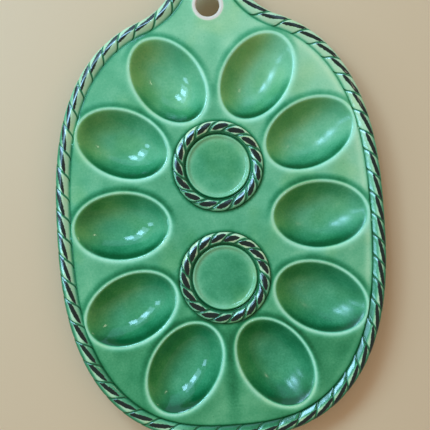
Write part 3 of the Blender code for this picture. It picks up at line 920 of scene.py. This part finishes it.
class Rope:
    """A twisted rope laid on a path: leaf-shaped strands with V grooves between and a dark dab on each.

    Its lines follow the strands over the rope, from 180 degrees at the inner foot to 0 at the outer side
    and below 0 down the skirt.
    """

    def __init__(self, path, strands, shape, seed):
        self.path = path
        self.shape = shape
        self.pitch = path.length / strands
        lines = np.arange(strands * STRAND_LINES)
        self.strand = lines // STRAND_LINES
        self.phase = (lines % STRAND_LINES) / STRAND_LINES
        self.start = self.pitch * (self.strand + self.phase)
        off_middle = np.abs(2 * self.phase - 1)
        self.groove = STRAND_GROOVE * (1 - (1 - off_middle ** STRAND_POWER) ** 0.5)
        self.seam_pool_and_shade = ease(off_middle, shape.seam_start, 1.0)
        jitter = np.random.default_rng(seed).normal(0.0, 1.0, (strands, 3))
        self.slip, self.sway, self.stretch = jitter[self.strand].T
        self.find_low_sides()

    def find_low_sides(self):
        """Finds what changes round the loop: the dabs' drift, the pools and the flatter inner side."""
        shape = self.shape
        spot = self.path.point(self.start)
        low = lowness(spot)
        right = rightness(spot)
        left_drift = shape.left_drift * ease(low, *LEFT_DRIFT_LOW)
        right_drift = shape.right_drift * ease(low, *RIGHT_DRIFT_LOW)
        self.drift = -right * np.where(right < 0, left_drift, right_drift)
        inward = self.path.inside(self.start, np.ones(len(spot))) - spot
        low_right = inward @ LOW_RIGHT_INWARD
        low_left = inward @ LOW_LEFT_INWARD
        self.inner_pool = shape.inner_pool * np.maximum(
            ease(low_right, *INNER_POOL_RIGHT), INNER_LEFT_SHARE * ease(low_left, *INNER_POOL_LEFT))
        self.outer_pool = shape.outer_pool * np.maximum(
            ease(low_left, *OUTER_POOL_LEFT), ease(low_right, *OUTER_POOL_RIGHT))
        self.flatter = LOW_SIDE_FLATTER * ease(inward[:, 1], *LOW_SIDE)

    def along(self, angle):
        """Distance of the lines along the path at an angle, as the strands slant across the rope."""
        return self.start + self.pitch * self.shape.lay * (angle / math.pi - 0.5)

    def hold(self, angle):
        """Share of their depth that the grooves keep, which runs out down the skirt."""
        roll = self.shape.roll
        return ease(math.degrees(angle), -roll, -roll * GROOVE_HOLD)

    def section(self, angle):
        """Inset and height of the lines at an angle."""
        shape = self.shape
        half_width = shape.width / 2
        rise = shape.top - shape.seat
        sunk = self.groove * self.hold(angle)
        half = half_width - sunk * math.sin(np.clip(angle, 0, math.pi) / 2 + math.pi / 4)
        inset = half_width - half * math.cos(angle)
        if angle == math.pi:
            inset = np.full(len(self.start), shape.width)
        if angle < 0:
            rolled = math.sin(angle) / math.sin(math.radians(shape.roll))
            return inset, shape.seat + (shape.seat - shape.foot) * SKIRT_ROLL * rolled
        slope = shape.inner_slope - self.flatter if angle > math.pi / 2 else shape.outer_slope
        facet = np.tan(np.radians(slope)) * half_width / rise
        return inset, shape.seat + (rise - sunk) * crown(math.cos(angle), facet, shape.rounding)

    def glaze(self, angle, inset):
        """Glaze on the lines: thick in the grooves and by the inner foot, with painted shade there, and in
        the pools.
        """
        shape = self.shape
        # Pooled glaze and painted shade in the grooves and at the inner foot
        thickness_and_shade = shape.glaze + SEAM_POOL_AND_SHADE * self.seam_pool_and_shade * self.hold(angle)
        thickness_and_shade += shape.foot_pool_and_shade * hump(inset, shape.width, shape.foot_reach)
        thickness_and_shade += self.inner_pool * ease(inset, *INNER_POOL_WIDTHS * shape.width)
        return thickness_and_shade + self.outer_pool * (1 - ease(inset, *OUTER_POOL_WIDTHS * shape.width))

    def dab(self, angle, inset):
        """Depth in millimetres inside the strand's dab, below 0 outside it."""
        shape = self.shape
        along = self.along(angle) - self.strand * self.pitch - shape.dab_along
        across = inset - self.drift - shape.dab_inset
        lean = math.radians(shape.dab_lean)
        lengthwise = along * math.cos(lean) + across * math.sin(lean) - DAB_SLIP * self.slip
        crosswise = across * math.cos(lean) - along * math.sin(lean) - DAB_SWAY * self.sway
        length = shape.dab_length + DAB_STRETCH * self.stretch
        depth = leaf(lengthwise, crosswise, length, shape.dab_width)
        from_seam = self.pitch * np.minimum(self.phase - shape.dab_start, 1 - self.phase)
        return np.minimum(depth, DAB_BORDER * from_seam) / MM

    def piece(self, name, finish, node):
        """Makes the rope: over its top, down its skirt and back inside to the seat."""
        shape = self.shape
        skin = Skin()
        rings = []
        over = np.linspace(180, 0, ROPE_STEPS_OVER)
        down = np.linspace(0, -shape.roll, ROPE_STEPS_DOWN)
        angles = np.radians(np.concatenate([over, down[1:]]))
        for angle in angles:
            inset, height = self.section(angle)
            points = self.path.inside(self.along(angle), inset)
            marks = {"glaze": self.glaze(angle, inset), "dab": self.dab(angle, inset)}
            rings.append(skin.add(points, height, **marks))
        end = self.along(angles[-1])
        rolled_inset, _ = self.section(angles[-1])
        skirt = np.full(len(end), shape.skirt)
        under = ((rolled_inset + SKIRT_STEP, shape.foot), (skirt, shape.foot), (skirt, shape.seat))
        for inset, height in under:
            rings.append(skin.add(self.path.inside(end, inset), height, glaze=UNDER_GLAZE))
        skin.bands([*rings, rings[0]])
        skin.piece(name, finish, "rope_glaze", node)


class Nodes:
    """Short calls for building a material's nodes."""

    def __init__(self, name):
        self.material = bpy.data.materials.new(name)
        self.material.use_nodes = True
        self.tree = self.material.node_tree
        self.shader = self.tree.nodes["Principled BSDF"]
        self.place = self.new("ShaderNodeTexCoord").outputs["Object"]

    def new(self, kind, **settings):
        node = self.tree.nodes.new(kind)
        for name, value in settings.items():
            setattr(node, name, value)
        return node

    def feed(self, socket, value):
        """Sets a socket to a number or a colour, or joins an output to it."""
        if isinstance(value, tuple):
            socket.default_value = (*value, 1.0)
        elif isinstance(value, (int, float)):
            socket.default_value = value
        else:
            self.tree.links.new(value, socket)

    def finish(self, name, value):
        self.feed(self.shader.inputs[name], value)

    def mark(self, name):
        return self.new("ShaderNodeAttribute", attribute_name=name).outputs["Fac"]

    def noise(self, scale, detail=2.0):
        """Soft noise from 0 to 1, with so many swells to the metre."""
        node = self.new("ShaderNodeTexNoise")
        self.feed(node.inputs["Scale"], scale)
        self.feed(node.inputs["Detail"], detail)
        self.feed(node.inputs["Vector"], self.place)
        return node.outputs["Fac"]

    def wobble(self, amount, scale, detail=2.0):
        """Noise to both sides of 0."""
        return self.math("MULTIPLY", self.math("SUBTRACT", self.noise(scale, detail), 0.5), amount)

    def math(self, operation, *values):
        node = self.new("ShaderNodeMath", operation=operation)
        for socket, value in zip(node.inputs, values):
            self.feed(socket, value)
        return node.outputs["Value"]

    def spread(self, value, low, high, to_low=0.0, to_high=1.0):
        """A smooth climb from one value to another between low and high."""
        node = self.new("ShaderNodeMapRange", interpolation_type="SMOOTHSTEP")
        for socket, source in zip(node.inputs, (value, low, high, to_low, to_high)):
            self.feed(socket, source)
        return node.outputs["Result"]

    def mix(self, share, one, other, blend="MIX"):
        node = self.new("ShaderNodeMix", data_type="RGBA", blend_type=blend)
        colours = [socket for socket in node.inputs if socket.type == "RGBA"]
        for socket, value in zip((node.inputs[0], *colours), (share, one, other)):
            self.feed(socket, value)
        return next(socket for socket in node.outputs if socket.type == "RGBA")

    def tint(self, share, colour, factors):
        """A colour times factors, blended in by a share."""
        return self.mix(share, colour, self.mix(1.0, colour, factors, "MULTIPLY"))

    def ramp(self, value, stops):
        node = self.new("ShaderNodeValToRGB")
        elements = node.color_ramp.elements
        while len(elements) < len(stops):
            elements.new(0.5)
        for element, (position, colour) in zip(elements, stops):
            element.position = position
            element.color = (*colour, 1.0)
        self.feed(node.inputs["Fac"], value)
        return node.outputs["Color"]


# Colours of the glaze: a thin film, what a thickness of 1 absorbs, tints on it, which include painted warm
# shade and a painted sky reflection, and what covers it
THIN_GLAZE = np.array([0.69, 0.79, 0.50])
ABSORBED = np.array([1.60, 0.63, 0.84])
THINNEST = -0.3
THICKEST = 3.6
GLAZE_STOPS = 12
# The olive tint below serves random patches and painted warm shade in the wells
OLIVE_AND_WARM_SHADE = (1.15, 0.89, 0.48)
# Painted sky reflection on the lips
SKY_SHEEN_TINT = (1.12, 1.30, 1.55)
SPECK = (0.02, 0.05, 0.02)
DAB_EDGE = (0.018, 0.027, 0.017)
DAB = (0.004, 0.015, 0.012)
CLAY = (0.70, 0.58, 0.47)

# Unevenness of the glaze: amounts, swells to the metre and details of its noises
CLOUD = (0.9, 60.0, 4.0)
GRAIN = (0.40, 700.0)
WANDER = (1.0, 700.0)
PATCHES = (38.0, 1.0)
PATCH_SPAN = (0.50, 0.75)
PATCH_OLIVE = 0.30
SPECKS = (1500.0, 0.0)
SPECK_SPAN = (0.80, 0.84)
SPECK_SHARE = 0.5
DAB_EDGE_SPAN = (-0.25, 0.15)
DAB_SPAN = (0.10, 0.60)
CLAY_SPAN = (-0.3, 0.5)
CLAY_ROUGHNESS = 0.55
WORN_SPAN = (-10.0 * MM, 60.0 * MM)
BUMP_STRENGTH = 0.10
BUMP_DISTANCE = 0.4 * MM
BUMP_SWELLS = (260.0, 1.0)
BUMP_GRAIN = (1000.0, 0.0)
BUMP_GRAIN_SHARE = 0.3


def glaze_colour(nodes):
    """Colour of the glaze by its thickness, with clouds, olive patches, olive painted warm shade, a
    painted sky sheen and dark specks.
    """
    uneven = nodes.math("ADD", nodes.math("ADD", nodes.wobble(*CLOUD), nodes.wobble(*GRAIN)), 1.0)
    thickness_and_shade = nodes.math("MULTIPLY", nodes.mark("glaze"), uneven)
    span = THICKEST - THINNEST
    shares = np.linspace(0, 1, GLAZE_STOPS)
    colours = [tuple(THIN_GLAZE * np.exp(-ABSORBED * (THINNEST + share * span))) for share in shares]
    depth = nodes.math("DIVIDE", nodes.math("SUBTRACT", thickness_and_shade, THINNEST), span)
    colour = nodes.ramp(depth, list(zip(shares, colours)))
    patches = nodes.spread(nodes.noise(*PATCHES), *PATCH_SPAN, to_high=PATCH_OLIVE)
    colour = nodes.tint(nodes.math("MAXIMUM", nodes.mark("olive"), patches), colour, OLIVE_AND_WARM_SHADE)
    # Painted sky reflection on the lips
    colour = nodes.tint(nodes.mark("mint"), colour, SKY_SHEEN_TINT)
    speck = nodes.spread(nodes.noise(*SPECKS), *SPECK_SPAN)
    return nodes.mix(nodes.math("MULTIPLY", speck, SPECK_SHARE), colour, SPECK)


def glaze_bump(nodes):
    fine = nodes.math("MULTIPLY", nodes.noise(*BUMP_GRAIN), BUMP_GRAIN_SHARE)
    bump = nodes.new("ShaderNodeBump")
    nodes.feed(bump.inputs["Strength"], BUMP_STRENGTH)
    nodes.feed(bump.inputs["Distance"], BUMP_DISTANCE)
    nodes.feed(bump.inputs["Height"], nodes.math("ADD", nodes.noise(*BUMP_SWELLS), fine))
    return bump.outputs["Normal"]


def glaze_material(name, roughness, worn=None, ior=1.5):
    """Translucent copper-green glaze that darkens as it thickens, with dark dabs and bare clay.

    The roughness climbs to worn towards the right, where the glaze is duller.
    """
    nodes = Nodes(name)
    wander = nodes.wobble(*WANDER)
    dab = nodes.math("ADD", nodes.mark("dab"), wander)
    bare = nodes.spread(nodes.math("ADD", nodes.mark("clay"), wander), *CLAY_SPAN)
    colour = nodes.mix(nodes.spread(dab, *DAB_EDGE_SPAN), glaze_colour(nodes), DAB_EDGE)
    colour = nodes.mix(nodes.spread(dab, *DAB_SPAN), colour, DAB)
    nodes.finish("Base Color", nodes.mix(bare, colour, CLAY))
    across = nodes.new("ShaderNodeSeparateXYZ")
    nodes.feed(across.inputs["Vector"], nodes.place)
    gloss = nodes.spread(across.outputs["X"], *WORN_SPAN, roughness, worn or roughness)
    bare_gloss = nodes.math("MULTIPLY", bare, CLAY_ROUGHNESS)
    nodes.finish("Roughness", nodes.math("MAXIMUM", gloss, bare_gloss))
    nodes.finish("IOR", ior)
    nodes.finish("Normal", glaze_bump(nodes))
    return nodes.material


def build_tray():
    """All pieces of the tray, each with its finish."""
    deck_piece(glaze_material("deck_glaze", roughness=0.14))
    well_finish = glaze_material("well_glaze", roughness=0.09, worn=0.24)
    dish_finish = glaze_material("dish_glaze", roughness=0.14)
    rope_finish = glaze_material("rope_glaze", roughness=0.15, ior=1.7)
    for well in WELLS:
        well_piece(well, well_finish)
    for seed, side in enumerate(DISHES, start=2):
        dish_piece(side, dish_finish)
        loop = Path(circle(RING_OUTER, CURVE_SAMPLES, DISHES[side]))
        ring = Rope(loop, RING_STRANDS[side], RING_ROPE, seed)
        ring.piece(f"rope_ring_{side}", rope_finish, f"{side}_rope_ring")
    rim = Rope(RIM, RIM_STRANDS, RIM_ROPE, seed=1)
    rim.piece("rope_of_rim", rope_finish, "rim_rope")


# Floor
FLOOR_DROP = 0.05 * MM
FLOOR_HALF = 3.0
FLOOR_COLOURS = ((0.62, 0.42, 0.25), (0.66, 0.46, 0.28))
FLOOR_SWELLS = 3.0
FLOOR_ROUGHNESS = 0.6


def floor_material():
    nodes = Nodes("pale_floor")
    nodes.finish("Base Color", nodes.mix(nodes.noise(FLOOR_SWELLS), *FLOOR_COLOURS))
    nodes.finish("Roughness", FLOOR_ROUGHNESS)
    return nodes.material


def build_floor():
    """A flat floor just under the tray's pads."""
    mesh = bpy.data.meshes.new("floor")
    signs = ((-1, -1), (1, -1), (1, 1), (-1, 1))
    corners = [(x * FLOOR_HALF, y * FLOOR_HALF, -FLOOR_DROP) for x, y in signs]
    mesh.from_pydata(corners, [], [(0, 1, 2, 3)])
    mesh.materials.append(floor_material())
    floor = new_object("floor", mesh)


# Light
LIGHT_DISTANCE = 1.6
SKY = (0.38, 0.71, 1.0)
WARM = (1.0, 0.89, 0.76)
LAMP = (1.0, 0.90, 0.68)
ROOM_LIGHT = (1.0, 0.92, 0.82)
ROOM_STRENGTH = 0.25

# Lights: name, bearing and climb in degrees, width, height, radiance, colour, and whether gloss mirrors it
LIGHTS = (
    ("window_far", 115, 47, 0.36, 0.44, 15.0, SKY),
    ("window_near", 147, 44, 0.36, 0.44, 15.0, SKY),
    ("window_side", 183, 27, 0.30, 0.34, 9.0, SKY),
    ("bright_wall", 142, 41, 1.3, 0.6, 4.5, SKY),
    ("far_wall", 100, 28, 2.2, 0.8, 1.0, SKY),
    ("ceiling", 0, 90, 4.0, 4.0, 0.44, WARM, False),
    ("room_lamp", 29, 32, 0.14, 0.14, 7.0, LAMP),
)


def soft_light(name, azimuth, elevation, width, height, radiance, colour, mirrored=True):
    """A rectangle of soft light that faces the tray from a bearing in degrees."""
    lamp = bpy.data.lights.new(name, "AREA")
    lamp.shape = "RECTANGLE"
    lamp.size = width
    lamp.size_y = height
    lamp.energy = radiance * math.pi * width * height
    lamp.color = colour
    made = new_object(name, lamp)
    turn = math.radians(azimuth)
    climb = math.radians(elevation)
    level = math.cos(climb)
    toward = Vector((math.cos(turn) * level, math.sin(turn) * level, math.sin(climb)))
    made.location = toward * LIGHT_DISTANCE
    made.rotation_euler = toward.to_track_quat("Z", "Y").to_euler()
    made.visible_camera = False
    made.visible_glossy = mirrored


def build_light():
    """Three window panes, the walls and ceiling that they light, a lamp and soft light all round."""
    for light in LIGHTS:
        soft_light(*light)
    world = bpy.data.worlds.new("room")
    world.use_nodes = True
    background = world.node_tree.nodes["Background"]
    background.inputs["Color"].default_value = (*ROOM_LIGHT, 1.0)
    background.inputs["Strength"].default_value = ROOM_STRENGTH
    bpy.context.scene.world = world
    bpy.context.scene.view_settings.view_transform = "Standard"


# Camera of the photograph, fitted to the ten lips and the two rings
CAMERA_PLACE = Vector((-0.0136, -0.0301, 0.4773))
CAMERA_RIGHT = Vector((0.9978, -0.0632, 0.0177))
CAMERA_UP = Vector((0.0624, 0.9971, 0.0432))
FOCAL_PIXELS = 650.0
FRAME_PIXELS = 430.0
SENSOR_WIDTH = 36.0
CLIP_START = 0.01


def build_camera():
    data = bpy.data.cameras.new("camera")
    data.sensor_width = SENSOR_WIDTH
    data.lens = FOCAL_PIXELS / FRAME_PIXELS * SENSOR_WIDTH
    data.clip_start = CLIP_START
    camera = new_object("camera", data)
    right = CAMERA_RIGHT.normalized()
    back = right.cross(CAMERA_UP).normalized()
    up = back.cross(right)
    turned = Matrix((right, up, back)).transposed().to_4x4()
    camera.matrix_world = Matrix.Translation(CAMERA_PLACE) @ turned
    bpy.context.scene.camera = camera


build_tray()
build_floor()
build_light()
build_camera()
bpy.context.view_layer.update()
